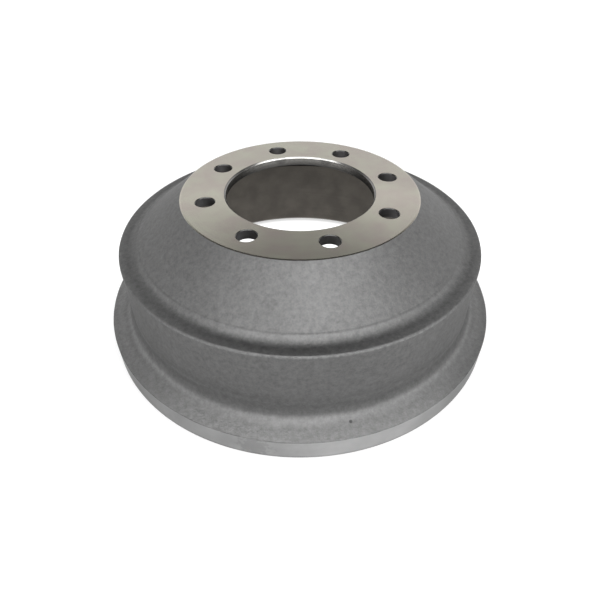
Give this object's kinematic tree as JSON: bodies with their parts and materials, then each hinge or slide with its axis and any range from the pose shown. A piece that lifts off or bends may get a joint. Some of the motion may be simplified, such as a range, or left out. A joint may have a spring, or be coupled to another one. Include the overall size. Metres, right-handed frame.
{
  "type": "brake drum",
  "caption": "Dished cast-iron brake drum: a turned braking bore with a flanged open rim, and a coned end with a flat bolted mounting face round a pilot bore.",
  "frame": {"origin": "centre of the open rim, on the plane that the rim stands on", "axes": "+Z along the drum's axis from the open rim to the mounting face, +X through the centre of one bolt hole"},
  "size_m": [0.4519, 0.452, 0.157],
  "materials": {
    "iron": "grey cast skin, bare turned faces"
  },
  "bodies": {
    "root": {"drum": "iron"}
  },
  "joints": []
}
